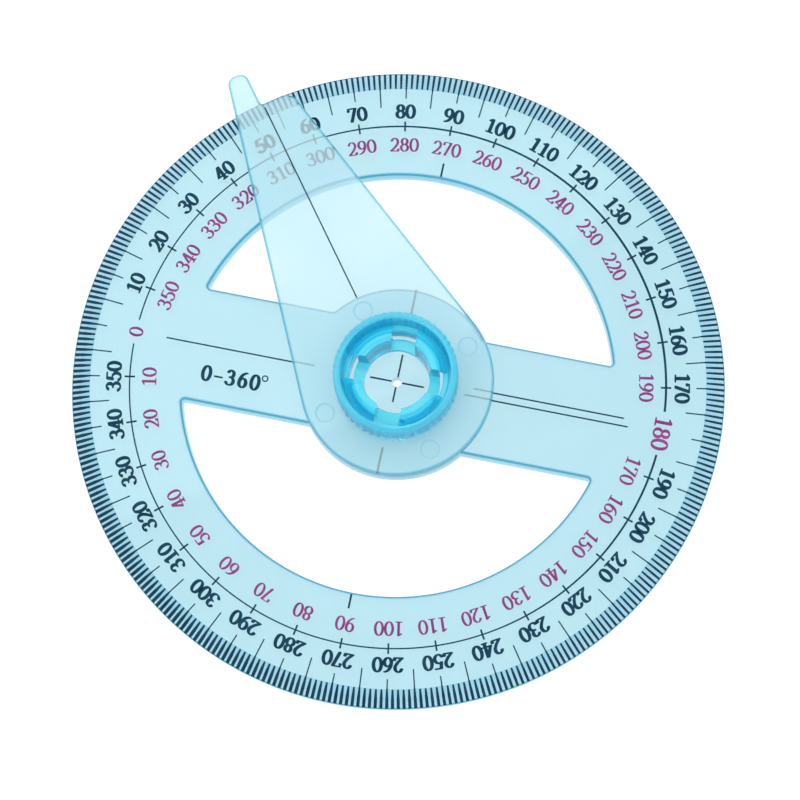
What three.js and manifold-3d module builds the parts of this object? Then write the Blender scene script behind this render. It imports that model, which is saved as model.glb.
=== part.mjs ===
// Full-circle protractor with a swing pointer. Millimetres, +Z up.
// The origin is the centre of the dial's small hole, on its flat underside, and the pointer turns about +Z there.
// +X runs along the dial's baseline towards its 180 mark, and +Y towards its 90 mark.
import * as THREE from 'three';
import { mergeVertices } from 'three/addons/utils/BufferGeometryUtils.js';
import Module from 'manifold-3d';

const wasm = await Module();
wasm.setup();

const RAD = Math.PI / 180;
const ROUND_SEGMENTS = 120;
const CORNER_STEPS = 5;

// Dial plate
const DIAL_R = 50;
const DIAL_THICK = 2;
const RIM_THICK = 1.1;
const RIM_BEVEL_R = 47.1;
const CENTRE_HOLE_R = 0.75;
const WINDOW_R = 33;
const HUB_DISC_R = 14.8;
const BAR_HALF = 9;
const WINDOW_CORNER_R = 0.4;

// Snap bush, standing in an annular seat in the dial
const FOOT_INNER_R = 4.95;
const FOOT_OUTER_R = 6.65;
const FOOT_TOP_Z = 2.35;
const SEAT_DEPTH = 0.8;
const SEAT_GAP = 0.1;
const CLAW_TOP_INNER_R = 5.3;
const CLAW_TOP_OUTER_R = 6.4;
const CLAW_NOTCH_WIDTH = 3.8;
const HOOK_R = 7.75;
const HOOK_THICK = 0.4;
const HOOK_GAP = 0.2;
const CLAW_TOP_Z = 7;

// Pointer
const POINTER_GAP = 0.2;
const POINTER_THICK = 1.5;
const POINTER_REST_DEG = 126.9;
const POINTER_HUB_R = 14.85;
const POINTER_BORE_R = 8.1;
const ARM_TAPER_DEG = 12;
const ARM_REACH = 49.1;
const ARM_CORNER_R = 2.2;
const TAB_REACH = 55.2;
const TAB_SIDE_Y = 0.35;
const TAB_TIP_R = 1.4;
const TAB_ROOT_R = 0.5;

// Knurled knob, its spigot pressed into the pointer's bore
const KNOB_TOP_Z = 8.5;
const KNOB_SEAT_GAP = 0.1;
const KNOB_BORE_R = 7.15;
const KNOB_WELL_FLOOR_R = 7.95;
const KNOB_WELL_MOUTH_R = 8.35;
const KNOB_LEDGE_Z = 5.7;
const SPIGOT_R = 8;
const RIB_COUNT = 50;
const RIB_CREST_R = 9.5;
const RIB_ROOT_R = 9.2;
const KNOB_EDGE_CHAMFER = 0.3;
const RIB_SHAPE = [0, 0.55, 1, 0.55];
const CUT_MARGIN = 1;

const POINTER_Z = DIAL_THICK + POINTER_GAP;
const POINTER_TOP_Z = POINTER_Z + POINTER_THICK;
const HOOK_Z = KNOB_LEDGE_Z + HOOK_GAP;
const SEAT_Z = DIAL_THICK - SEAT_DEPTH;

function plastic(colour, roughness) {
  return new THREE.MeshStandardMaterial({ color: colour, roughness, metalness: 0 });
}

// A closed geometry as a manifold solid.
function solidOf(geometry) {
  const bare = geometry.clone();
  bare.deleteAttribute('normal');
  bare.deleteAttribute('uv');
  const merged = mergeVertices(bare, 1e-4);
  const mesh = new wasm.Mesh({
    numProp: 3,
    vertProperties: new Float32Array(merged.attributes.position.array),
    triVerts: new Uint32Array(merged.index.array),
  });
  return new wasm.Manifold(mesh);
}

function geometryOf(solid) {
  const mesh = solid.getMesh();
  const geometry = new THREE.BufferGeometry();
  geometry.setAttribute('position', new THREE.BufferAttribute(mesh.vertProperties, 3));
  geometry.setIndex(new THREE.BufferAttribute(mesh.triVerts, 1));
  geometry.computeVertexNormals();
  return geometry;
}

function meshOf(name, solid, material) {
  const mesh = new THREE.Mesh(geometryOf(solid), material);
  mesh.name = name;
  return mesh;
}

// A ring turned about +Z from a closed section of [radius, height] points.
function turned(section) {
  const points = [...section, section[0]].map(([r, z]) => new THREE.Vector2(r, z));
  const lathe = new THREE.LatheGeometry(points, ROUND_SEGMENTS);
  lathe.rotateX(Math.PI / 2);
  return solidOf(lathe);
}

// A prism on an outline, from height z0 to z1.
function prism(outline, z0, z1, holes = []) {
  const shape = new THREE.Shape(outline);
  shape.holes = holes.map((hole) => new THREE.Path(hole));
  const geometry = new THREE.ExtrudeGeometry(shape, { depth: z1 - z0, bevelEnabled: false });
  geometry.translate(0, 0, z0);
  return solidOf(geometry);
}

function polar(radius, angle) {
  return new THREE.Vector2(radius * Math.cos(angle), radius * Math.sin(angle));
}

// Points along an arc about a centre, from one angle to another, both ends included.
function arc(centre, radius, from, to, steps) {
  const points = [];
  for (let i = 0; i <= steps; i += 1) {
    points.push(polar(radius, from + ((to - from) * i) / steps).add(centre));
  }
  return points;
}

// The rounded corner between two straight edges, as arc points.
function roundedCorner(before, corner, after, radius) {
  const toBefore = before.clone().sub(corner).normalize();
  const toAfter = after.clone().sub(corner).normalize();
  const half = Math.acos(toBefore.dot(toAfter)) / 2;
  const middle = toBefore.clone().add(toAfter).normalize();
  const centre = corner.clone().addScaledVector(middle, radius / Math.sin(half));
  const reach = radius / Math.tan(half);
  const start = corner.clone().addScaledVector(toBefore, reach).sub(centre);
  const end = corner.clone().addScaledVector(toAfter, reach).sub(centre);
  const sweep = Math.atan2(start.cross(end), start.dot(end));
  return arc(centre, radius, start.angle(), start.angle() + sweep, CORNER_STEPS);
}

// The D-shaped window above the bar, counter-clockwise.
function windowOutline() {
  const fillet = WINDOW_CORNER_R;
  const filletY = BAR_HALF + fillet;
  const outerCentre = new THREE.Vector2(Math.sqrt((WINDOW_R - fillet) ** 2 - filletY ** 2), filletY);
  const innerCentre = new THREE.Vector2(Math.sqrt((HUB_DISC_R + fillet) ** 2 - filletY ** 2), filletY);
  const outerAngle = outerCentre.angle();
  const innerAngle = innerCentre.angle();
  const down = -Math.PI / 2;
  const right = [
    ...arc(innerCentre, fillet, innerAngle - Math.PI, down, CORNER_STEPS),
    ...arc(outerCentre, fillet, down, outerAngle, CORNER_STEPS),
  ];
  const left = right.map((p) => new THREE.Vector2(-p.x, p.y)).reverse();
  const outerSteps = Math.round((Math.PI - 2 * outerAngle) / (3 * RAD));
  const innerSteps = Math.round((Math.PI - 2 * innerAngle) / (6 * RAD));
  const outerArc = arc(new THREE.Vector2(), WINDOW_R, outerAngle, Math.PI - outerAngle, outerSteps);
  const innerArc = arc(new THREE.Vector2(), HUB_DISC_R, Math.PI - innerAngle, innerAngle, innerSteps);
  return [...right, ...outerArc.slice(1, -1), ...left, ...innerArc.slice(1, -1)];
}

function dialPlate() {
  const body = turned([
    [CENTRE_HOLE_R, 0],
    [DIAL_R, 0],
    [DIAL_R, RIM_THICK],
    [RIM_BEVEL_R, DIAL_THICK],
    [FOOT_OUTER_R + SEAT_GAP, DIAL_THICK],
    [FOOT_OUTER_R + SEAT_GAP, SEAT_Z],
    [FOOT_INNER_R - SEAT_GAP, SEAT_Z],
    [FOOT_INNER_R - SEAT_GAP, DIAL_THICK],
    [CENTRE_HOLE_R, DIAL_THICK],
  ]);
  const upper = prism(windowOutline(), -CUT_MARGIN, DIAL_THICK + CUT_MARGIN);
  const lower = upper.rotate([0, 0, 180]);
  return body.subtract(upper).subtract(lower);
}

function snapBush() {
  const ring = turned([
    [FOOT_INNER_R, SEAT_Z + SEAT_GAP],
    [FOOT_OUTER_R, SEAT_Z + SEAT_GAP],
    [FOOT_OUTER_R, HOOK_Z],
    [HOOK_R, HOOK_Z],
    [HOOK_R, HOOK_Z + HOOK_THICK],
    [CLAW_TOP_OUTER_R, CLAW_TOP_Z],
    [CLAW_TOP_INNER_R, CLAW_TOP_Z],
    [FOOT_INNER_R, FOOT_TOP_Z],
  ]);
  const half = CLAW_NOTCH_WIDTH / 2;
  const reach = HOOK_R + CUT_MARGIN;
  const slot = [[-reach, -half], [reach, -half], [reach, half], [-reach, half]];
  const outline = slot.map(([x, y]) => new THREE.Vector2(x, y));
  const notch = prism(outline, FOOT_TOP_Z, CLAW_TOP_Z + CUT_MARGIN);
  return ring.subtract(notch).subtract(notch.rotate([0, 0, 90]));
}

// The pointer lies along +X, with its finger tab on the +Y side of the hairline.
function pointerArm() {
  const taper = ARM_TAPER_DEG * RAD;
  const tangent = Math.PI / 2 - taper;
  const sideY = (x) => POINTER_HUB_R / Math.cos(taper) - x * Math.tan(taper);
  const rightFoot = polar(POINTER_HUB_R, -tangent);
  const leftFoot = polar(POINTER_HUB_R, tangent);
  const armCorner = new THREE.Vector2(ARM_REACH, -sideY(ARM_REACH));
  const tabRoot = new THREE.Vector2(ARM_REACH, TAB_SIDE_Y);
  const tipRight = new THREE.Vector2(TAB_REACH, TAB_SIDE_Y);
  const tipLeft = new THREE.Vector2(TAB_REACH, sideY(TAB_REACH));
  const origin = new THREE.Vector2();
  const outline = [
    ...arc(origin, POINTER_HUB_R, tangent, 2 * Math.PI - tangent, ROUND_SEGMENTS / 2),
    ...roundedCorner(rightFoot, armCorner, tabRoot, ARM_CORNER_R),
    ...roundedCorner(armCorner, tabRoot, tipRight, TAB_ROOT_R),
    ...roundedCorner(tabRoot, tipRight, tipLeft, TAB_TIP_R),
    ...roundedCorner(tipRight, tipLeft, leftFoot, TAB_TIP_R),
  ];
  const bore = arc(origin, POINTER_BORE_R, 0, 2 * Math.PI, ROUND_SEGMENTS / 2).slice(0, -1);
  return prism(outline, POINTER_Z, POINTER_TOP_Z, [bore]);
}

// The plan outline of the knurl: rounded ribs between the root and crest radii.
function knurlOutline() {
  const points = [];
  const steps = RIB_COUNT * RIB_SHAPE.length;
  for (let i = 0; i < steps; i += 1) {
    const rise = RIB_SHAPE[i % RIB_SHAPE.length];
    points.push(polar(RIB_ROOT_R + (RIB_CREST_R - RIB_ROOT_R) * rise, (2 * Math.PI * i) / steps));
  }
  return points;
}

function knurledKnob() {
  const clear = RIB_CREST_R + CUT_MARGIN;
  const edge = RIB_CREST_R - KNOB_EDGE_CHAMFER;
  const envelope = turned([
    [KNOB_BORE_R, POINTER_Z + KNOB_SEAT_GAP],
    [SPIGOT_R, POINTER_Z + KNOB_SEAT_GAP],
    [SPIGOT_R, POINTER_TOP_Z + KNOB_SEAT_GAP],
    [clear, POINTER_TOP_Z + KNOB_SEAT_GAP],
    [clear, KNOB_TOP_Z - KNOB_EDGE_CHAMFER - CUT_MARGIN],
    [edge, KNOB_TOP_Z],
    [KNOB_WELL_MOUTH_R, KNOB_TOP_Z],
    [KNOB_WELL_FLOOR_R, KNOB_LEDGE_Z],
    [KNOB_BORE_R, KNOB_LEDGE_Z],
  ]);
  return envelope.intersect(prism(knurlOutline(), 0, KNOB_TOP_Z + CUT_MARGIN));
}

const palePlate = plastic(0xbee4f0, 0.12);
const hazyPlate = plastic(0xccedf5, 0.3);
const deepCyan = plastic(0x48b4e0, 0.1);
const clawCyan = plastic(0x63cbeb, 0.1);

const protractor = new THREE.Group();
protractor.add(meshOf('dial_plate', dialPlate(), palePlate));
protractor.add(meshOf('snap_bush', snapBush(), clawCyan));

const swingingPointer = new THREE.Group();
swingingPointer.rotation.z = POINTER_REST_DEG * RAD;
swingingPointer.add(meshOf('pointer_arm', pointerArm(), hazyPlate));
swingingPointer.add(meshOf('knurled_knob', knurledKnob(), deepCyan));
protractor.add(swingingPointer);

export default protractor;
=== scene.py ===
from collections import Counter
from math import asin, atan2, ceil, cos, hypot, pi, radians, sin, sqrt, tan

import bmesh
import bpy
from mathutils import Matrix, Vector
from mathutils.geometry import convex_hull_2d, delaunay_2d_cdt


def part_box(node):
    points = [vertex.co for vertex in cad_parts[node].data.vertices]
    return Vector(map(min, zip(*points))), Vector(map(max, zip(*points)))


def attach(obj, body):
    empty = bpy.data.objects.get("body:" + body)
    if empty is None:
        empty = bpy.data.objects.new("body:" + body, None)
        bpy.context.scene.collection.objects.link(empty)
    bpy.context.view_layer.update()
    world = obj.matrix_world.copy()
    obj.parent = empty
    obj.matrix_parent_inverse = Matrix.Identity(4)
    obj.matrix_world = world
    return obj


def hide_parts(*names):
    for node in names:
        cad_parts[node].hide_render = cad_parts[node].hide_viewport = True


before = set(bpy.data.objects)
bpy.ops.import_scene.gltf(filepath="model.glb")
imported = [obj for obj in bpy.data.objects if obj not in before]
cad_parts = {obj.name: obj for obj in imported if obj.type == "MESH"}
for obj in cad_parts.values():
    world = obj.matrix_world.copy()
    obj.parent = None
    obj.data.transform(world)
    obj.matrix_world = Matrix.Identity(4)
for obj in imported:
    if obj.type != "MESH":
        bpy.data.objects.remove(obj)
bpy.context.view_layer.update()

MM = 0.001

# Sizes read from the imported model
dial_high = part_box("dial_plate")[1]
bush_low, bush_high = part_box("snap_bush")
pointer_low, pointer_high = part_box("pointer_arm")
knob_low, knob_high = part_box("knurled_knob")
DIAL_R = dial_high.x / MM
DIAL_TOP = dial_high.z / MM
BUSH_Z = bush_low.z / MM
CLAW_TOP_Z = bush_high.z / MM
POINTER_Z = pointer_low.z / MM
POINTER_TOP = pointer_high.z / MM
SPIGOT_Z = knob_low.z / MM
KNOB_TOP_Z = knob_high.z / MM
RIB_CREST_R = knob_high.x / MM

# Dial plate
RIM_THICK = 1.1
BEVEL_START_STEP = 0.02
RIM_BEVEL_R = 47.1
CENTRE_HOLE_R = 0.75
WINDOW_R = 33.0
HUB_DISC_R = 14.8
BAR_HALF = 9.0
WINDOW_CORNER_R = 0.4
SEAT_GAP = 0.1
MOULD_EDGE_R = 0.25
WINDOW_EDGE_R = 0.5
LOWER_EDGE_R = 0.1
WINDOW_DRAFT = 0.08

# Snap bush
FOOT_INNER_R = 4.95
FOOT_OUTER_R = 6.65
FOOT_TOP_Z = 2.35
CLAW_TOP_INNER_R = 5.3
CLAW_TOP_OUTER_R = 6.4
NOTCH_HALF = 1.9
HOOK_R = hypot(bush_high.x / MM, NOTCH_HALF)
HOOK_THICK = 0.4
HOOK_GAP = 0.2

# Pointer
POINTER_REST_DEG = 126.9
POINTER_HUB_R = 14.85
POINTER_BORE_R = 8.1
ARM_TAPER_DEG = 12.0
ARM_REACH = 49.1
ARM_CORNER_R = 2.2
TAB_REACH = 55.2
TAB_SIDE_Y = 0.35
TAB_TIP_R = 1.4
TAB_ROOT_R = 0.5
POINTER_EDGE_R = 0.45
PIN_MARK_R = 1.5
PIN_MARK_AT_R = 12.0
PIN_MARK_DEPTH = 0.05
PIN_MARK_SLOPE = 0.2

# Knurled knob
KNOB_BORE_R = 7.15
WELL_FLOOR_R = 7.95
WELL_MOUTH_R = 8.35
LEDGE_Z = 5.7
SPIGOT_R = 8.0
RIB_COUNT = 50
RIB_DEPTH = 0.3
KNOB_EDGE_R = 0.3
SEAT_CLEARANCE = 0.1

# Print
INK_THICK = 0.02
INK_ROOT = 0.004
TICK_OUTER_R = 49.92
TICK_MIDDLE_R = 48.6
TICK_INNER_R = 47.15
TICK_INNER_R_5 = 44.15
TICK_INNER_R_10 = 45.6
TICK_WIDTH = 0.37
TICK_EXTRA_WIDTH = 0.17
TICK_HEAVY_SIDE_DEG = 232
TICK_TIP_WIDTH = 0.28
TICK_TAIL_WIDTH = 0.2
TICK_TAIL_STEP = 0.2
RING_R = 41.0
RING_WIDTH = 0.22
RING_EXTRA_WIDTH = 0.14
RING_HEAVY_SIDE_DEG = 30
RING_GAP_ZERO_MM = 1.9
RING_GAP_STRAIGHT_MM = 3.4
CROSS_TICK_HALF = 0.8
CROSS_TICK_WIDTH = 0.28
BASELINE_WIDTH = 0.23
BASELINE_LEFT_X = (-36.2, -12.8)
BASELINE_RIGHT_X = (10.5, 35.8)
SECOND_LINE_X = (11.7, 35.0)
SECOND_LINE_Y = 1.2
WINDOW_MARK_R = (33.4, 35.6)
WINDOW_MARK_WIDTH = 0.3
HUB_MARK_R = (10.5, HUB_DISC_R)
HUB_MARK_WIDTH = 0.34
CROSSHAIR_START_R = 0.8
CROSSHAIR_REACH = (4.2, 4.4, 4.2, 3.2)
CROSSHAIR_WIDTH = 0.26
OUTER_LABEL_R = 43.45
OUTER_LABEL_HEIGHT = 2.4
OUTER_LABEL_WIDTH = 0.72 * OUTER_LABEL_HEIGHT
OUTER_LABEL_NIB = (0.28, 0.14)
OUTER_LABEL_PITCH = 1.56
INNER_LABEL_R = 38.0
INNER_LABEL_HEIGHT = 2.25
INNER_LABEL_WIDTH = 0.68 * INNER_LABEL_HEIGHT
INNER_LABEL_NIB = (0.2, 0.09)
INNER_LABEL_PITCH = 1.5
STRAIGHT_LABEL_HEIGHT = 2.7
STRAIGHT_LABEL_WIDTH = 0.68 * STRAIGHT_LABEL_HEIGHT
STRAIGHT_LABEL_NIB = (0.25, 0.13)
STRAIGHT_LABEL_PITCH = 1.75
RANGE_LABEL_HEIGHT = 2.6
RANGE_LABEL_WIDTH = 0.66 * RANGE_LABEL_HEIGHT
RANGE_LABEL_NIB = (0.28, 0.14)
RANGE_LABEL_PITCH = 1.9
RANGE_LABEL_AT = (-25.1, -4.3)
DEGREE_SIGN_AT = (-19.9, -3.4)
DEGREE_SIGN_R = 0.42
DEGREE_SIGN_WIDTH = 0.2
HAIRLINE_START_R = 14.3
HAIRLINE_END_R = 48.4
HAIRLINE_WIDTH = 0.2

# How finely curves are divided
ROUND_STEPS = 180
RIM_STEPS = 360
WINDOW_OUTER_STEPS = 80
WINDOW_INNER_STEPS = 36
WINDOW_OUTER_CORNER_STEPS = 8
WINDOW_INNER_CORNER_STEPS = 6
POINTER_HUB_STEPS = 100
POINTER_CORNER_STEPS = 8
TAB_ROOT_STEPS = 5
PIN_MARK_STEPS = 48
CLAW_STEPS = 16
NOTCH_STEPS = 8
RIB_STEPS = 12
EDGE_STEPS = 5
OVAL_STEPS = 28
NIB_STEPS = 12

# How meshes are put together
TALL_STEP = 0.3
SUPPORT_SHARES = (0.04, 0.96)
MITRE_LIMIT = 0.5
WELD_GAP = 1e-5
MERGE_GAP = 1e-4


# ---------------------------------------------------------------- outlines, in millimetres

def polar(radius, angle, centre=(0.0, 0.0)):
    return (centre[0] + radius * cos(angle), centre[1] + radius * sin(angle))


def arc(centre, radius, start, end, steps):
    """Points along an arc, both ends included."""
    return [polar(radius, start + (end - start) * i / steps, centre) for i in range(steps + 1)]


def circle(radius, centre=(0.0, 0.0), steps=ROUND_STEPS):
    return arc(centre, radius, 0, 2 * pi, steps)[:-1]


def rounded_corner(before, corner, after, radius, steps):
    """The arc that rounds the corner between two straight edges."""
    before, corner, after = Vector(before), Vector(corner), Vector(after)
    to_before = (before - corner).normalized()
    to_after = (after - corner).normalized()
    half = to_before.angle(to_after) / 2
    centre = corner + (to_before + to_after).normalized() * radius / sin(half)
    start = corner + to_before * radius / tan(half) - centre
    end = corner + to_after * radius / tan(half) - centre
    first = atan2(start.y, start.x)
    sweep = atan2(start.x * end.y - start.y * end.x, start.dot(end))
    return arc(centre, radius, first, first + sweep, steps)


def rounded(corners, radii):
    """A closed section with each corner rounded by its own radius, or left sharp at radius 0."""
    points = []
    count = len(corners)
    for i, (corner, radius) in enumerate(zip(corners, radii)):
        if radius == 0:
            points.append(corner)
        else:
            before = corners[i - 1]
            after = corners[(i + 1) % count]
            points.extend(rounded_corner(before, corner, after, radius, EDGE_STEPS))
    return points


def grown(outline, distance):
    """A counter-clockwise outline moved outwards by a distance, with the same number of points."""
    points = []
    count = len(outline)
    for i, here in enumerate(outline):
        back = (Vector(here) - Vector(outline[i - 1])).normalized()
        ahead = (Vector(outline[(i + 1) % count]) - Vector(here)).normalized()
        normal = Vector((back.y + ahead.y, -back.x - ahead.x)).normalized()
        reach = distance / max(normal.dot(Vector((back.y, -back.x))), MITRE_LIMIT)
        points.append((here[0] + normal.x * reach, here[1] + normal.y * reach))
    return points


def window_outline():
    """The D-shaped window above the bar, counter-clockwise."""
    fillet = WINDOW_CORNER_R
    fillet_y = BAR_HALF + fillet
    outer_centre = (sqrt((WINDOW_R - fillet) ** 2 - fillet_y ** 2), fillet_y)
    inner_centre = (sqrt((HUB_DISC_R + fillet) ** 2 - fillet_y ** 2), fillet_y)
    outer_angle = atan2(fillet_y, outer_centre[0])
    inner_angle = atan2(fillet_y, inner_centre[0])
    right = arc(inner_centre, fillet, inner_angle - pi, -pi / 2, WINDOW_INNER_CORNER_STEPS)
    right += arc(outer_centre, fillet, -pi / 2, outer_angle, WINDOW_OUTER_CORNER_STEPS)
    left = [(-x, y) for x, y in reversed(right)]
    outer = arc((0, 0), WINDOW_R, outer_angle, pi - outer_angle, WINDOW_OUTER_STEPS)
    inner = arc((0, 0), HUB_DISC_R, pi - inner_angle, inner_angle, WINDOW_INNER_STEPS)
    return right + outer[1:-1] + left + inner[1:-1]


def pointer_outline():
    """The pointer lying along +X, counter-clockwise, with its finger tab on the +Y side."""
    taper = radians(ARM_TAPER_DEG)
    tangent = pi / 2 - taper

    def side_y(x):
        return POINTER_HUB_R / cos(taper) - x * tan(taper)

    right_foot = polar(POINTER_HUB_R, -tangent)
    left_foot = polar(POINTER_HUB_R, tangent)
    arm_corner = (ARM_REACH, -side_y(ARM_REACH))
    tab_root = (ARM_REACH, TAB_SIDE_Y)
    tip_right = (TAB_REACH, TAB_SIDE_Y)
    tip_left = (TAB_REACH, side_y(TAB_REACH))
    steps = POINTER_CORNER_STEPS
    outline = arc((0, 0), POINTER_HUB_R, tangent, 2 * pi - tangent, POINTER_HUB_STEPS)
    outline += rounded_corner(right_foot, arm_corner, tab_root, ARM_CORNER_R, steps)
    outline += rounded_corner(arm_corner, tab_root, tip_right, TAB_ROOT_R, TAB_ROOT_STEPS)
    outline += rounded_corner(tab_root, tip_right, tip_left, TAB_TIP_R, steps)
    outline += rounded_corner(tip_right, tip_left, left_foot, TAB_TIP_R, steps)
    return outline


def edge_levels(outline, z, radius, upwards, hole=False):
    """Loops that round an edge of a solid or of a hole: up from the face at z, or up to it."""
    loops = []
    for i in range(EDGE_STEPS + 1):
        turn = pi / 2 * i / EDGE_STEPS
        inset = radius * (1 - sin(turn))
        drop = radius * (1 - cos(turn))
        loop = grown(outline, inset if hole else -inset)
        loops.append(at_height(loop, z + drop if upwards else z - drop))
    return loops if upwards else loops[::-1]


def at_height(outline, z):
    return [(x, y, z) for x, y in outline]


def supported(loops):
    """The loops, with one more near each end of a tall step, to hold smooth shading there."""
    stack = loops[:1]
    for lower, upper in zip(loops, loops[1:]):
        if abs(upper[0][-1] - lower[0][-1]) > TALL_STEP:
            for share in SUPPORT_SHARES:
                stack.append([tuple(Vector(a).lerp(b, share)) for a, b in zip(lower, upper)])
        stack.append(upper)
    return stack


def supported_section(section):
    """The same for a closed section of [radius, height] points."""
    closed = supported([[point] for point in section + section[:1]])
    return [loop[0] for loop in closed[:-1]]


# ---------------------------------------------------------------- meshes

def add_loop(bm, points):
    return [bm.verts.new(point) for point in points]


def bridge(bm, lower, upper, closed=True):
    """A smooth wall of quads between two rows of vertices."""
    count = len(lower)
    for i in range(count if closed else count - 1):
        after = (i + 1) % count
        face = bm.faces.new((lower[i], lower[after], upper[after], upper[i]))
        face.smooth = True


def wall(bm, loops):
    """A wall through a stack of loops. Returns its first and last rows of vertices."""
    rows = [add_loop(bm, loop) for loop in supported(loops)]
    for lower, upper in zip(rows, rows[1:]):
        bridge(bm, lower, upper)
    return rows[0], rows[-1]


def cap(bm, rows):
    """A flat face between an outer row of vertices and any rows inside it."""
    edges = []
    for row in rows:
        for a, b in zip(row, row[1:] + row[:1]):
            edges.append(bm.edges.get((a, b)) or bm.edges.new((a, b)))
    filled = bmesh.ops.triangle_fill(bm, use_beauty=True, use_dissolve=False, edges=edges)
    for item in filled["geom"]:
        if isinstance(item, bmesh.types.BMFace):
            item.smooth = False


def finished(bm, name, body, material, crease_deg=25):
    """The mesh as a piece in metres, facing outwards, with edges sharp above the crease angle."""
    bmesh.ops.recalc_face_normals(bm, faces=bm.faces)
    if bm.calc_volume(signed=True) < 0:
        bmesh.ops.reverse_faces(bm, faces=bm.faces)
    for edge in bm.edges:
        if edge.calc_face_angle(0) > radians(crease_deg):
            edge.smooth = False
    bmesh.ops.scale(bm, vec=(MM, MM, MM), verts=bm.verts)
    mesh = bpy.data.meshes.new(name)
    bm.to_mesh(mesh)
    bm.free()
    mesh.materials.append(material)
    piece = bpy.data.objects.new(name, mesh)
    bpy.context.scene.collection.objects.link(piece)
    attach(piece, body)
    return piece


# ---------------------------------------------------------------- plastic pieces

def dial_plate(material):
    """The round plate: bevelled rim, two windows with drafted walls, centre hole and bush seat."""
    bm = bmesh.new()
    seat_z = BUSH_Z - SEAT_GAP
    rim = circle(DIAL_R, steps=RIM_STEPS)
    bevel_start = circle(DIAL_R - MOULD_EDGE_R, steps=RIM_STEPS)
    bevel_end = circle(RIM_BEVEL_R, steps=RIM_STEPS)
    rim_bottom, rim_top = wall(bm, [
        *edge_levels(rim, 0, LOWER_EDGE_R, upwards=True),
        *edge_levels(rim, RIM_THICK, MOULD_EDGE_R, upwards=False)[:-1],
        at_height(bevel_start, RIM_THICK + BEVEL_START_STEP),
        at_height(bevel_end, DIAL_TOP),
    ])
    hole = circle(CENTRE_HOLE_R)
    seat_inner = circle(FOOT_INNER_R - SEAT_GAP)
    seat_outer = circle(FOOT_OUTER_R + SEAT_GAP)
    hole_bottom, seat_top = wall(bm, [
        at_height(hole, 0),
        at_height(hole, DIAL_TOP),
        at_height(seat_inner, DIAL_TOP),
        at_height(seat_inner, seat_z),
        at_height(seat_outer, seat_z),
        at_height(seat_outer, DIAL_TOP),
    ])
    bottom_rows = [rim_bottom, hole_bottom]
    top_rows = [rim_top, seat_top]
    upper_window = window_outline()
    lower_window = [(-x, -y) for x, y in upper_window]
    for outline in (upper_window, lower_window):
        foot = grown(outline, -WINDOW_DRAFT)
        mouth = grown(outline, WINDOW_DRAFT)
        bottom, top = wall(bm, [
            *edge_levels(foot, 0, LOWER_EDGE_R, upwards=True, hole=True),
            *edge_levels(mouth, DIAL_TOP, WINDOW_EDGE_R, upwards=False, hole=True),
        ])
        bottom_rows.append(bottom)
        top_rows.append(top)
    cap(bm, bottom_rows)
    cap(bm, top_rows)
    piece = finished(bm, "dial_plate_moulding", "dial", material)
    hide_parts("dial_plate")


def snap_bush(material):
    """A foot ring with four claws, and notches between them with straight, parallel sides."""
    bm = bmesh.new()
    hook_z = LEDGE_Z + HOOK_GAP
    claw = rounded(
        [
            (FOOT_OUTER_R, FOOT_TOP_Z),
            (FOOT_OUTER_R, hook_z),
            (HOOK_R, hook_z),
            (HOOK_R, hook_z + HOOK_THICK),
            (CLAW_TOP_OUTER_R, CLAW_TOP_Z),
            (CLAW_TOP_INNER_R, CLAW_TOP_Z),
            (FOOT_INNER_R, FOOT_TOP_Z),
        ],
        [0, 0.15, 0.1, 0.15, 0.2, 0.2, 0],
    )
    claw = supported_section(claw)
    foot = [
        (FOOT_INNER_R, FOOT_TOP_Z),
        (FOOT_INNER_R, BUSH_Z),
        (FOOT_OUTER_R, BUSH_Z),
        (FOOT_OUTER_R, FOOT_TOP_Z),
    ]
    foot_rows = []
    claws = []
    for quarter in range(4):
        turn = quarter * pi / 2
        for i in range(NOTCH_STEPS):
            share = 2 * i / NOTCH_STEPS - 1
            foot_rows.append(section_row(bm, foot, lambda r: turn + asin(NOTCH_HALF / r) * share))
        claw_rows = []
        for i in range(CLAW_STEPS + 1):
            def angle(r):
                notch = asin(NOTCH_HALF / r)
                return turn + notch + (pi / 2 - 2 * notch) * i / CLAW_STEPS
            claw_rows.append(section_row(bm, claw, angle))
            if i < CLAW_STEPS:
                foot_rows.append(section_row(bm, foot, angle))
        claws.append(claw_rows)
    for row, after in zip(foot_rows, foot_rows[1:] + foot_rows[:1]):
        bridge(bm, row, after, closed=False)
    for quarter in range(4):
        notch_start = quarter * (NOTCH_STEPS + CLAW_STEPS)
        for i in range(notch_start, notch_start + NOTCH_STEPS):
            row, after = foot_rows[i], foot_rows[i + 1]
            bm.faces.new((row[-1], row[0], after[0], after[-1]))
    for claw_rows in claws:
        for row, after in zip(claw_rows, claw_rows[1:]):
            bridge(bm, row, after, closed=False)
        bm.faces.new(claw_rows[0])
        bm.faces.new(claw_rows[-1])
    bmesh.ops.remove_doubles(bm, verts=bm.verts, dist=WELD_GAP)
    piece = finished(bm, "snap_bush_moulding", "dial", material)
    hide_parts("snap_bush")


def section_row(bm, section, angle_at):
    """A section of [radius, height] points, each turned about +Z by the angle for its radius."""
    return add_loop(bm, [(*polar(r, angle_at(r)), z) for r, z in section])


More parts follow.
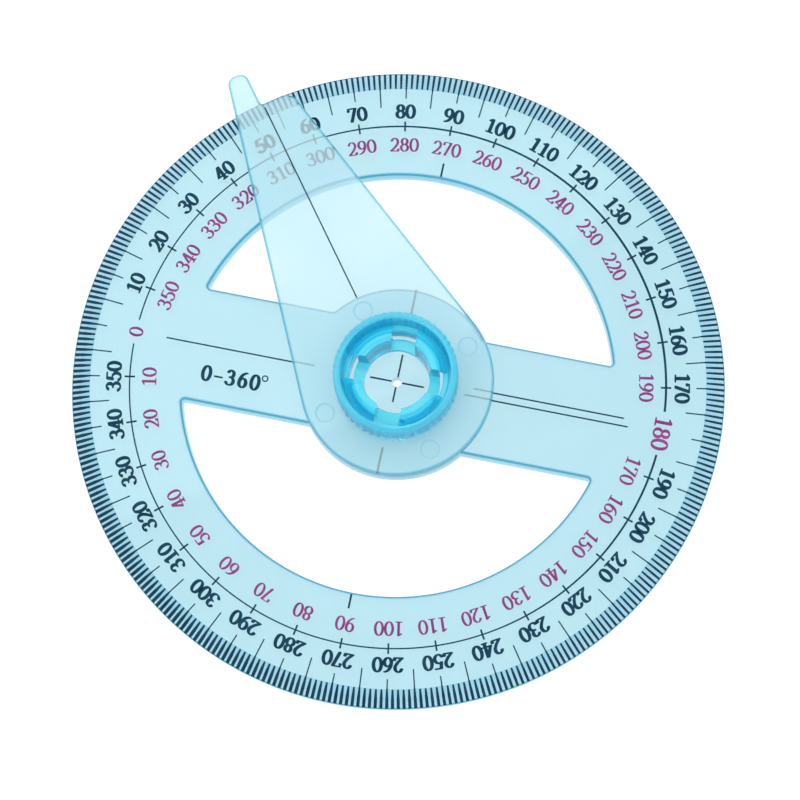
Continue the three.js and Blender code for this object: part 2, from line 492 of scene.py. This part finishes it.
def pointer_arm(material):
    """The flat pointer with softened edges, its bore, and the marks of four ejector pins."""
    bm = bmesh.new()
    outline = pointer_outline()
    bore = circle(POINTER_BORE_R)
    outer_bottom, outer_top = wall(bm, [
        *edge_levels(outline, POINTER_Z, LOWER_EDGE_R, upwards=True),
        *edge_levels(outline, POINTER_TOP, POINTER_EDGE_R, upwards=False),
    ])
    bore_bottom, bore_top = wall(bm, [at_height(bore, POINTER_Z), at_height(bore, POINTER_TOP)])
    top_rows = [outer_top, bore_top]
    for quarter in range(4):
        centre = polar(PIN_MARK_AT_R, quarter * pi / 2)
        mark_floor = circle(PIN_MARK_R - PIN_MARK_SLOPE, centre, PIN_MARK_STEPS)
        mark_mouth = circle(PIN_MARK_R, centre, PIN_MARK_STEPS)
        floor_row, mark_top = wall(bm, [
            at_height(mark_floor, POINTER_TOP - PIN_MARK_DEPTH),
            at_height(mark_mouth, POINTER_TOP),
        ])
        cap(bm, [floor_row])
        top_rows.append(mark_top)
    cap(bm, [outer_bottom, bore_bottom])
    cap(bm, top_rows)
    bm.transform(Matrix.Rotation(radians(POINTER_REST_DEG), 4, "Z"))
    piece = finished(bm, "pointer_arm_moulding", "pointer", material)
    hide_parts("pointer_arm")


def knurled_knob(material):
    """The ribbed ring on its smooth spigot, with a flared well and the ledge the claws hold."""
    bm = bmesh.new()
    collar_z = POINTER_TOP + SEAT_CLEARANCE
    section = rounded(
        [
            (KNOB_BORE_R, SPIGOT_Z),
            (SPIGOT_R, SPIGOT_Z),
            (SPIGOT_R, collar_z),
            (RIB_CREST_R, collar_z),
            (RIB_CREST_R, KNOB_TOP_Z),
            (WELL_MOUTH_R, KNOB_TOP_Z),
            (WELL_FLOOR_R, LEDGE_Z),
            (KNOB_BORE_R, LEDGE_Z),
        ],
        [0.1, 0.15, 0, 0.2, KNOB_EDGE_R, 0.12, 0.15, 0.2],
    )
    section = supported_section(section)
    rib_turn = radians(POINTER_REST_DEG)

    def knurled(radius, angle):
        """The radius, drawn in at the grooves where it is far enough out to meet them."""
        groove = RIB_CREST_R - RIB_DEPTH * (1 - abs(cos(RIB_COUNT * (angle - rib_turn) / 2)))
        return min(radius, groove)

    steps = RIB_COUNT * RIB_STEPS
    rows = []
    for i in range(steps):
        angle = 2 * pi * i / steps
        rows.append(add_loop(bm, [(*polar(knurled(r, angle), angle), z) for r, z in section]))
    for row, after in zip(rows, rows[1:] + rows[:1]):
        bridge(bm, row, after)
    piece = finished(bm, "knurled_knob_moulding", "pointer", material)
    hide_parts("knurled_knob")


# ---------------------------------------------------------------- digits, drawn with a broad nib

def line(*points):
    return (list(points), False)


def oval(cx, cy, rx, ry, start=0, end=360):
    """A stretch of an oval stroke, from one angle to another in degrees."""
    steps = max(6, round(abs(end - start) / 360 * OVAL_STEPS))
    points = []
    for i in range(steps + 1):
        angle = radians(start + (end - start) * i / steps)
        points.append((cx + rx * cos(angle), cy + ry * sin(angle)))
    if abs(end - start) == 360:
        return (points[:-1], True)
    return (points, False)


# Each digit's strokes, in a cell that runs from 0 to 1 both ways
STROKES = {
    "0": [oval(0.5, 0.5, 0.5, 0.5)],
    "1": [line((0.55, 1), (0.55, 0)), line((0.55, 1), (0.2, 0.86)), line((0.22, 0), (0.88, 0))],
    "2": [
        (oval(0.47, 0.7, 0.43, 0.3, 165, -30)[0] + [(0.55, 0.3), (0.02, 0)], False),
        line((0.02, 0), (0.95, 0)),
        line((0.95, 0), (1, 0.16)),
    ],
    "3": [oval(0.44, 0.76, 0.38, 0.24, 160, -90), oval(0.42, 0.27, 0.5, 0.27, 90, -160)],
    "4": [
        line((0.64, 1), (0, 0.27)),
        line((0, 0.27), (1, 0.27)),
        line((0.7, 1), (0.7, 0)),
        line((0.48, 0), (0.92, 0)),
    ],
    "5": [
        line((0.24, 1), (0.9, 1)),
        line((0.24, 1), (0.14, 0.56)),
        oval(0.43, 0.31, 0.5, 0.31, 128, -155),
    ],
    "6": [oval(0.5, 0.31, 0.45, 0.31), oval(0.92, 0.31, 0.87, 0.69, 180, 95)],
    "7": [line((0.04, 0.8), (0.06, 1), (0.97, 1)), line((0.97, 1), (0.36, 0))],
    "8": [oval(0.5, 0.76, 0.38, 0.24), oval(0.5, 0.27, 0.46, 0.27)],
    "9": [oval(0.5, 0.69, 0.45, 0.31), oval(0.08, 0.69, 0.87, 0.69, 0, -85)],
    "-": [line((0.1, 0.4), (0.9, 0.4))],
}


def stroke_polygons(stroke, width, height, nib_x, nib_y):
    """A stroke swept by an oval nib, as quads along it and a nib at each open end."""
    points, closed = stroke
    path = [
        Vector((nib_x + x * (width - 2 * nib_x), nib_y + y * (height - 2 * nib_y)))
        for x, y in points
    ]
    count = len(path)
    sides = []
    for i, here in enumerate(path):
        before = path[i - 1] if closed or i > 0 else here
        after = path[(i + 1) % count] if closed or i < count - 1 else here
        along = (after - before).normalized()
        reach = hypot(nib_x * along.y, nib_y * along.x)
        offset = Vector((nib_x ** 2 * along.y, -nib_y ** 2 * along.x)) / reach
        sides.append((here - offset, here + offset))
    polygons = []
    for i in range(count if closed else count - 1):
        corners = [*sides[i], *sides[(i + 1) % count]]
        polygons.append([corners[k] for k in convex_hull_2d(corners)])
    if not closed:
        for end in (path[0], path[-1]):
            nib = [end + Vector((nib_x * x, nib_y * y)) for x, y in circle(1, steps=NIB_STEPS)]
            polygons.append(nib)
    return polygons


def merged(polygons):
    """Overlapping flat polygons as one shape: its points, its triangles and its boundary edges."""
    points = []
    faces = []
    for polygon in polygons:
        faces.append(list(range(len(points), len(points) + len(polygon))))
        points.extend(Vector(point) for point in polygon)
    points, _, cells, _, _, sources = delaunay_2d_cdt(points, [], faces, 1, MERGE_GAP)
    inside = [cell for cell, source in zip(cells, sources) if source]
    uses = Counter()
    for cell in inside:
        for a, b in zip(cell, cell[1:] + cell[:1]):
            uses[frozenset((a, b))] += 1
    bm = bmesh.new()
    verts = {}
    for edge in (edge for edge, count in uses.items() if count == 1):
        for i in edge:
            if i not in verts:
                verts[i] = bm.verts.new((*points[i], 0))
        bm.edges.new([verts[i] for i in edge])
    up = (0, 0, 1)
    bmesh.ops.triangle_fill(bm, use_beauty=True, use_dissolve=False, edges=bm.edges, normal=up)
    bm.verts.index_update()
    flat = [vert.co.xy.copy() for vert in bm.verts]
    triangles = [upright([vert.index for vert in face.verts], flat) for face in bm.faces]
    bm.free()
    return flat, triangles, open_edges(triangles)


def upright(triangle, points):
    """The triangle's corners in counter-clockwise order."""
    a, b, c = (points[i] for i in triangle)
    turned_over = (b - a).cross(c - a) < 0
    return triangle[::-1] if turned_over else triangle


def open_edges(triangles):
    """The directed edges that only one triangle uses."""
    directed = {(a, b) for t in triangles for a, b in zip(t, t[1:] + t[:1])}
    return [(a, b) for a, b in directed if (b, a) not in directed]


def digit_shapes(height, width, nib_x, nib_y):
    """Every digit at one size and weight, as merged shapes."""
    shapes = {}
    for character, strokes in STROKES.items():
        polygons = []
        for stroke in strokes:
            polygons.extend(stroke_polygons(stroke, width, height, nib_x, nib_y))
        shapes[character] = merged(polygons)
    return shapes


def label(text, shapes, height, width, pitch, place):
    """A line of digits centred on a place, which maps the label's own plane to the dial."""
    placed = []
    for i, character in enumerate(text):
        shift = Vector(((i - (len(text) - 1) / 2) * pitch - width / 2, -height / 2))
        points, triangles, rim = shapes[character]
        placed.append(([place(point + shift) for point in points], triangles, rim))
    return placed


def radial_place(radius, degrees):
    """Maps a label to the dial with its foot towards the centre."""
    angle = radians(degrees)
    outward = Vector((cos(angle), sin(angle)))
    rightward = Vector((sin(angle), -cos(angle)))
    return lambda point: outward * (radius + point.y) + rightward * point.x


def level_place(x, y):
    """Maps a label to the dial without turning it."""
    return lambda point: Vector((x, y)) + point


# ---------------------------------------------------------------- ink

def ink_layer(name, shapes, z, body, material):
    """Flat shapes as thin closed solids of ink, rooted just inside the plastic at height z."""
    bm = bmesh.new()
    for points, triangles, rim in shapes:
        lower = add_loop(bm, [(*point, z - INK_ROOT) for point in points])
        upper = add_loop(bm, [(*point, z + INK_THICK) for point in points])
        for a, b, c in triangles:
            bm.faces.new((upper[a], upper[b], upper[c]))
            bm.faces.new((lower[c], lower[b], lower[a]))
        for a, b in rim:
            bm.faces.new((lower[a], lower[b], upper[b], upper[a]))
    finished(bm, name, body, material)


def bar_polygon(start, end, width):
    """A straight ink line as a rectangle."""
    start, end = Vector(start), Vector(end)
    along = (end - start).normalized()
    side = Vector((-along.y, along.x)) * width / 2
    return [start - side, end - side, end + side, start + side]


def ring_polygons(radius, width_at, start, end):
    """An arc of ink as short quads, its width given for each angle."""
    steps = ceil(abs(end - start) / radians(1))
    angles = [start + (end - start) * i / steps for i in range(steps + 1)]
    inner = [polar(radius - width_at(angle) / 2, angle) for angle in angles]
    outer = [polar(radius + width_at(angle) / 2, angle) for angle in angles]
    return [[inner[i], outer[i], outer[i + 1], inner[i + 1]] for i in range(steps)]


def ring_width(angle):
    """The ring line prints heavier on one side."""
    return RING_WIDTH + RING_EXTRA_WIDTH * max(0, cos(angle - radians(RING_HEAVY_SIDE_DEG)))


def dial_surface_z(radius):
    """The height of the dial's upper surface, which falls towards the rim."""
    if radius <= RIM_BEVEL_R:
        return DIAL_TOP
    share = (radius - RIM_BEVEL_R) / (DIAL_R - MOULD_EDGE_R - RIM_BEVEL_R)
    return DIAL_TOP + (RIM_THICK - DIAL_TOP) * share


def degree_ticks(material):
    """360 ticks over the bevel, heavier on one side, with thin tails longest at the fives."""
    bm = bmesh.new()
    for degree in range(360):
        angle = radians(degree)
        width = TICK_WIDTH + TICK_EXTRA_WIDTH * max(0, cos(angle - radians(TICK_HEAVY_SIDE_DEG)))
        stations = [(TICK_OUTER_R, width), (TICK_MIDDLE_R, width), (TICK_INNER_R, TICK_TIP_WIDTH)]
        if degree % 5 == 0:
            tail_end = TICK_INNER_R_10 if degree % 10 == 0 else TICK_INNER_R_5
            for radius in (TICK_INNER_R - TICK_TAIL_STEP, RIM_BEVEL_R, tail_end):
                stations.append((radius, TICK_TAIL_WIDTH))
        rows = [tick_row(bm, angle, radius, wide) for radius, wide in stations]
        for row, after in zip(rows, rows[1:]):
            bridge(bm, row, after)
        bm.faces.new(rows[0])
        bm.faces.new(rows[-1])
    finished(bm, "degree_ticks", "dial", material, crease_deg=5)


def tick_row(bm, angle, radius, width):
    """A tick's rectangular section at a radius."""
    z = dial_surface_z(radius)
    across = Vector((-sin(angle), cos(angle))) * width / 2
    middle = Vector(polar(radius, angle))
    left, right = middle + across, middle - across
    top, bottom = z + INK_THICK, z - INK_ROOT
    return add_loop(bm, [(*left, bottom), (*right, bottom), (*right, top), (*left, top)])


def dial_lines(material):
    """The ring line with its cross ticks, the baseline, its second line and four short marks."""
    zero_gap = asin(RING_GAP_ZERO_MM / RING_R)
    straight_gap = asin(RING_GAP_STRAIGHT_MM / RING_R)
    ring = ring_polygons(RING_R, ring_width, straight_gap, pi - zero_gap)
    ring += ring_polygons(RING_R, ring_width, pi + zero_gap, 2 * pi - straight_gap)
    for degree in range(10, 360, 10):
        if degree != 180:
            angle = radians(degree)
            inner = polar(RING_R - CROSS_TICK_HALF, angle)
            outer = polar(RING_R + CROSS_TICK_HALF, angle)
            ring.append(bar_polygon(inner, outer, CROSS_TICK_WIDTH))
    lines = []
    levels = ((BASELINE_LEFT_X, 0), (BASELINE_RIGHT_X, 0), (SECOND_LINE_X, SECOND_LINE_Y))
    for (start, end), y in levels:
        lines.append(bar_polygon((start, y), (end, y), BASELINE_WIDTH))
    for side in (1, -1):
        start, end = WINDOW_MARK_R
        lines.append(bar_polygon((0, side * start), (0, side * end), WINDOW_MARK_WIDTH))
        start, end = HUB_MARK_R
        lines.append(bar_polygon((0, side * start), (0, side * end), HUB_MARK_WIDTH))
    shapes = [merged(ring)] + [merged([polygon]) for polygon in lines]
    ink_layer("dial_lines", shapes, DIAL_TOP, "dial", material)


def crosshair(material):
    """The four short arms round the centre hole, the lowest one the shortest."""
    arms = []
    for quarter, reach in enumerate(CROSSHAIR_REACH):
        angle = quarter * pi / 2
        start = polar(CROSSHAIR_START_R, angle)
        end = polar(reach, angle)
        arms.append(merged([bar_polygon(start, end, CROSSHAIR_WIDTH)]))
    ink_layer("crosshair", arms, DIAL_TOP, "dial", material)


def outer_numbers(material):
    """Bold numbers every 10 degrees, counting clockwise from the left."""
    height, width, pitch = OUTER_LABEL_HEIGHT, OUTER_LABEL_WIDTH, OUTER_LABEL_PITCH
    shapes = digit_shapes(height, width, *OUTER_LABEL_NIB)
    placed = []
    for degree in range(10, 360, 10):
        if degree != 180:
            place = radial_place(OUTER_LABEL_R, 180 - degree)
            placed += label(str(degree), shapes, height, width, pitch, place)
    ink_layer("outer_numbers", placed, DIAL_TOP, "dial", material)


def inner_numbers(material):
    """Light crimson numbers, counting the other way, with 0 and a bolder 180 on the ring line."""
    height, width, pitch = INNER_LABEL_HEIGHT, INNER_LABEL_WIDTH, INNER_LABEL_PITCH
    shapes = digit_shapes(height, width, *INNER_LABEL_NIB)
    placed = []
    for degree in range(10, 360, 10):
        if degree != 180:
            place = radial_place(INNER_LABEL_R, 180 + degree)
            placed += label(str(degree), shapes, height, width, pitch, place)
    placed += label("0", shapes, height, width, pitch, radial_place(RING_R, 180))
    height, width, pitch = STRAIGHT_LABEL_HEIGHT, STRAIGHT_LABEL_WIDTH, STRAIGHT_LABEL_PITCH
    bold = digit_shapes(height, width, *STRAIGHT_LABEL_NIB)
    placed += label("180", bold, height, width, pitch, radial_place(RING_R, 0))
    ink_layer("inner_numbers", placed, DIAL_TOP, "dial", material)


def range_label(material):
    """The dial's range, printed in bold on the bar, with a small ring for the degree sign."""
    height, width, pitch = RANGE_LABEL_HEIGHT, RANGE_LABEL_WIDTH, RANGE_LABEL_PITCH
    shapes = digit_shapes(height, width, *RANGE_LABEL_NIB)
    placed = label("0-360", shapes, height, width, pitch, level_place(*RANGE_LABEL_AT))
    ring = ring_polygons(DEGREE_SIGN_R, lambda angle: DEGREE_SIGN_WIDTH, 0, 2 * pi)
    points, triangles, rim = merged(ring)
    place = level_place(*DEGREE_SIGN_AT)
    placed.append(([place(point) for point in points], triangles, rim))
    ink_layer("range_label", placed, DIAL_TOP, "dial", material)


def hairline(material):
    """The line that reads the scale, printed on the pointer's top face."""
    angle = radians(POINTER_REST_DEG)
    start = polar(HAIRLINE_START_R, angle)
    end = polar(HAIRLINE_END_R, angle)
    shape = merged([bar_polygon(start, end, HAIRLINE_WIDTH)])
    ink_layer("hairline", [shape], POINTER_TOP, "pointer", material)


# ---------------------------------------------------------------- materials

# How level a surface is, from 0 for upright to 1 for level, where each tint of painted edge shade
# holds
UPRIGHT_END = 0.2
ROUNDED_RANGE = (0.45, 0.9)
GENTLE_RANGE = (0.96, 0.98)

# The part of the noise's range that is spread over a material's values
NOISE_LOW = 0.3
NOISE_HIGH = 0.7


def new_material(name):
    """A material, its nodes, its links and its shader."""
    material = bpy.data.materials.new(name)
    material.use_nodes = True
    nodes = material.node_tree.nodes
    return material, nodes, material.node_tree.links, nodes["Principled BSDF"]


def noise(nodes, links, scale, detail):
    """Object-space noise. The scale is in features per metre."""
    where = nodes.new("ShaderNodeTexCoord")
    texture = nodes.new("ShaderNodeTexNoise")
    texture.inputs["Scale"].default_value = scale
    texture.inputs["Detail"].default_value = detail
    links.new(where.outputs["Object"], texture.inputs["Vector"])
    return texture.outputs["Fac"]


def between(nodes, links, factor, low, high):
    """A number that follows a factor from low to high."""
    spread = nodes.new("ShaderNodeMapRange")
    spread.inputs["From Min"].default_value = NOISE_LOW
    spread.inputs["From Max"].default_value = NOISE_HIGH
    spread.inputs["To Min"].default_value = low
    spread.inputs["To Max"].default_value = high
    links.new(factor, spread.inputs["Value"])
    return spread.outputs["Result"]


def tones(nodes, links, factor, low, high):
    """A colour that follows a factor from low to high."""
    ramp = nodes.new("ShaderNodeValToRGB")
    ramp.color_ramp.elements[0].position = NOISE_LOW
    ramp.color_ramp.elements[0].color = (*low, 1)
    ramp.color_ramp.elements[1].position = NOISE_HIGH
    ramp.color_ramp.elements[1].color = (*high, 1)
    links.new(factor, ramp.inputs["Fac"])
    return ramp.outputs["Color"]


def slope_tint(nodes, links, upright_shade, rounded_shade, gentle_shade):
    """Painted shade by surface tilt: one tint for walls, one for rounded edges, one for gentle
    slopes, and none on level faces.
    """
    geometry = nodes.new("ShaderNodeNewGeometry")
    parts = nodes.new("ShaderNodeSeparateXYZ")
    links.new(geometry.outputs["Normal"], parts.inputs["Vector"])
    level = nodes.new("ShaderNodeMath")
    level.operation = "ABSOLUTE"
    links.new(parts.outputs["Z"], level.inputs[0])
    # Painted shade: the ramp darkens the colour by how steep the surface is, standing in for edge
    # lines made by light in the plastic
    ramp = nodes.new("ShaderNodeValToRGB")
    stops = ramp.color_ramp.elements
    stops[0].position = UPRIGHT_END
    stops[0].color = (*upright_shade, 1)
    stops[1].position = 1.0
    stops[1].color = (1, 1, 1, 1)
    for position in ROUNDED_RANGE:
        stops.new(position).color = (*rounded_shade, 1)
    for position in GENTLE_RANGE:
        stops.new(position).color = (*gentle_shade, 1)
    links.new(level.outputs["Value"], ramp.inputs["Fac"])
    return ramp.outputs["Color"]


def multiplied(nodes, links, first, second):
    """The product of two colours."""
    mix = nodes.new("ShaderNodeMix")
    mix.data_type = "RGBA"
    mix.blend_type = "MULTIPLY"
    mix.inputs["Factor"].default_value = 1.0
    sockets = {socket.name: socket for socket in mix.inputs if socket.type == "RGBA"}
    links.new(first, sockets["A"])
    links.new(second, sockets["B"])
    return [socket for socket in mix.outputs if socket.type == "RGBA"][0]


def uneven(nodes, links, shader, scale, strength, distance):
    """A slight waviness of the surface. The distance is in metres."""
    bump = nodes.new("ShaderNodeBump")
    bump.inputs["Strength"].default_value = strength
    bump.inputs["Distance"].default_value = distance
    links.new(noise(nodes, links, scale, 3), bump.inputs["Height"])
    links.new(bump.outputs["Normal"], shader.inputs["Normal"])


def clear_plastic(name, ior, tints, painted_shade_tints, absorbed, clearness, rough):
    """Tinted clear plastic, with shade painted into its colour along walls, rounded edges and
    gentle slopes.

    absorbed is what each millimetre takes from red, green and blue.
    """
    material, nodes, links, shader = new_material(name)
    shader.inputs["IOR"].default_value = ior
    shader.inputs["Transmission Weight"].default_value = clearness
    mottle = tones(nodes, links, noise(nodes, links, scale=120, detail=4), *tints)
    # Painted shade: walls, rounded edges and gentle slopes darkened by their tilt
    edges = slope_tint(nodes, links, *painted_shade_tints)
    links.new(multiplied(nodes, links, mottle, edges), shader.inputs["Base Color"])
    haze = noise(nodes, links, scale=900, detail=3)
    links.new(between(nodes, links, haze, *rough), shader.inputs["Roughness"])
    uneven(nodes, links, shader, scale=260, strength=0.12, distance=0.00003)
    volume = nodes.new("ShaderNodeVolumeAbsorption")
    strongest = max(absorbed)
    volume.inputs["Density"].default_value = strongest / MM
    passed = [1 - share / strongest for share in absorbed]
    volume.inputs["Color"].default_value = (*passed, 1)
    links.new(volume.outputs["Volume"], nodes["Material Output"].inputs["Volume"])
    return material


def pale_plate_material():
    """The dial's plastic, nearly colourless."""
    return clear_plastic(
        "pale_plate",
        ior=1.34,
        tints=((0.95, 0.98, 0.99), (1.0, 1.0, 1.0)),
        # Painted shade: dark cyan on walls and rounded edges, bluer on the rim bevel and pin-mark
        # slopes
        painted_shade_tints=((0.22, 0.56, 0.73), (0.02, 0.24, 0.4), (0.52, 0.78, 0.94)),
        absorbed=(0.322, 0.119, 0.073),
        clearness=1.0,
        rough=(0.01, 0.05),
    )


def hazy_plate_material():
    """The pointer's plastic, a little milky."""
    return clear_plastic(
        "hazy_plate",
        ior=1.4,
        tints=((0.6, 0.83, 0.88), (0.64, 0.85, 0.9)),
        # Painted shade: cyan outline on the pointer's walls, rounded edges and pin-mark slopes
        painted_shade_tints=((0.05, 0.4, 0.6), (0.18, 0.6, 0.78), (0.6, 0.86, 0.93)),
        absorbed=(0.04, 0.03, 0.02),
        clearness=0.76,
        rough=(0.01, 0.03),
    )


def deep_cyan_material():
    """The plastic of the knob and the bush, strong in colour."""
    return clear_plastic(
        "deep_cyan",
        ior=1.45,
        tints=((0.11, 0.84, 1.0), (0.18, 0.9, 1.0)),
        # Painted shade: less red on walls, rounded edges and gentle slopes
        painted_shade_tints=((0.55, 0.86, 1.0), (0.6, 0.88, 1.0), (0.8, 0.95, 1.0)),
        absorbed=(0.14, 0.015, 0.001),
        clearness=0.8,
        rough=(0.02, 0.06),
    )


def ink_material(name, thin_tone, full_tone):
    """Printed ink: slightly uneven in tone, with a dry, grainy surface."""
    material, nodes, links, shader = new_material(name)
    patchy = noise(nodes, links, scale=700, detail=3)
    links.new(tones(nodes, links, patchy, full_tone, thin_tone), shader.inputs["Base Color"])
    grain = noise(nodes, links, scale=9000, detail=2)
    links.new(between(nodes, links, grain, low=0.45, high=0.7), shader.inputs["Roughness"])
    shader.inputs["Specular IOR Level"].default_value = 0.06
    uneven(nodes, links, shader, scale=12000, strength=0.3, distance=0.000004)
    return material


def floor_material():
    """Matt paper that glows, as on a light table."""
    material, nodes, links, shader = new_material("floor_paper")
    patches = noise(nodes, links, scale=6, detail=2)
    tone = tones(nodes, links, patches, (0.16, 0.16, 0.16), (0.18, 0.18, 0.18))
    links.new(tone, shader.inputs["Base Color"])
    shader.inputs["Roughness"].default_value = 0.9
    shader.inputs["Specular IOR Level"].default_value = 0.0
    shader.inputs["Emission Color"].default_value = (1.0, 1.0, 1.0, 1)
    shader.inputs["Emission Strength"].default_value = 0.9
    return material


# ---------------------------------------------------------------- studio

CAMERA_AIM = (1.038, -2.647, DIAL_TOP)
CAMERA_DISTANCE = 450.27
CAMERA_TILT_DEG = 13.375
CAMERA_SIDE_DEG = -69.035
CAMERA_UP_DEG = 101.782
CAMERA_LENS = 132.868
SENSOR_WIDTH = 36
NEAREST_M = 0.01

FLOOR_HALF_M = 1.5
FLOOR_DROP_M = 0.0001
SURROUND_STRENGTH = 1.4
SOFTBOX_AT_M = (-0.35, 0.45, 0.7)
SOFTBOX_SIZE_M = 0.9
SOFTBOX_WATTS = 2.2


def studio_floor():
    """A wide square just under the dial."""
    mesh = bpy.data.meshes.new("floor")
    corners = []
    for x, y in ((-1, -1), (1, -1), (1, 1), (-1, 1)):
        corners.append((x * FLOOR_HALF_M, y * FLOOR_HALF_M, -FLOOR_DROP_M))
    mesh.from_pydata(corners, [], [(0, 1, 2, 3)])
    mesh.materials.append(floor_material())
    floor = bpy.data.objects.new("floor", mesh)
    bpy.context.scene.collection.objects.link(floor)


def studio_light():
    """An even white surround and one soft lamp at the upper left."""
    world = bpy.data.worlds.new("studio")
    world.use_nodes = True
    background = world.node_tree.nodes["Background"]
    background.inputs["Color"].default_value = (1.0, 1.0, 1.0, 1)
    background.inputs["Strength"].default_value = SURROUND_STRENGTH
    bpy.context.scene.world = world
    lamp = bpy.data.lights.new("softbox", "AREA")
    lamp.shape = "DISK"
    lamp.size = SOFTBOX_SIZE_M
    lamp.energy = SOFTBOX_WATTS
    softbox = bpy.data.objects.new("softbox", lamp)
    place = Vector(SOFTBOX_AT_M)
    softbox.location = place
    softbox.rotation_euler = (-place).to_track_quat("-Z", "Y").to_euler()
    bpy.context.scene.collection.objects.link(softbox)


def studio_camera():
    """The photo's view: tilted to one side of straight down, with a turned picture."""
    tilt = radians(CAMERA_TILT_DEG)
    side = radians(CAMERA_SIDE_DEG)
    up = radians(CAMERA_UP_DEG)
    aim = Vector(CAMERA_AIM) * MM
    back = Vector((sin(tilt) * cos(side), sin(tilt) * sin(side), cos(tilt)))
    hint = Vector((cos(up), sin(up), 0))
    right = hint.cross(back).normalized()
    above = back.cross(right)
    turn = Matrix((right, above, back)).transposed().to_4x4()
    lens = bpy.data.cameras.new("camera")
    lens.sensor_width = SENSOR_WIDTH
    lens.lens = CAMERA_LENS
    lens.clip_start = NEAREST_M
    camera = bpy.data.objects.new("camera", lens)
    camera.matrix_world = Matrix.Translation(aim + back * CAMERA_DISTANCE * MM) @ turn
    bpy.context.scene.collection.objects.link(camera)
    bpy.context.scene.camera = camera


def render_settings():
    scene = bpy.context.scene
    scene.view_settings.view_transform = "Standard"
    scene.cycles.max_bounces = 24
    scene.cycles.transmission_bounces = 24
    scene.cycles.glossy_bounces = 12


# ---------------------------------------------------------------- the scene

render_settings()
studio_camera()
studio_light()
studio_floor()

pale_plate = pale_plate_material()
hazy_plate = hazy_plate_material()
deep_cyan = deep_cyan_material()
black_ink = ink_material("black_ink", (0.006, 0.045, 0.08), (0.002, 0.025, 0.05))
red_ink = ink_material("red_ink", (0.23, 0.045, 0.18), (0.15, 0.025, 0.12))

dial_plate(pale_plate)
snap_bush(deep_cyan)
pointer_arm(hazy_plate)
knurled_knob(deep_cyan)

degree_ticks(black_ink)
dial_lines(black_ink)
crosshair(black_ink)
outer_numbers(black_ink)
inner_numbers(red_ink)
range_label(black_ink)
hairline(black_ink)
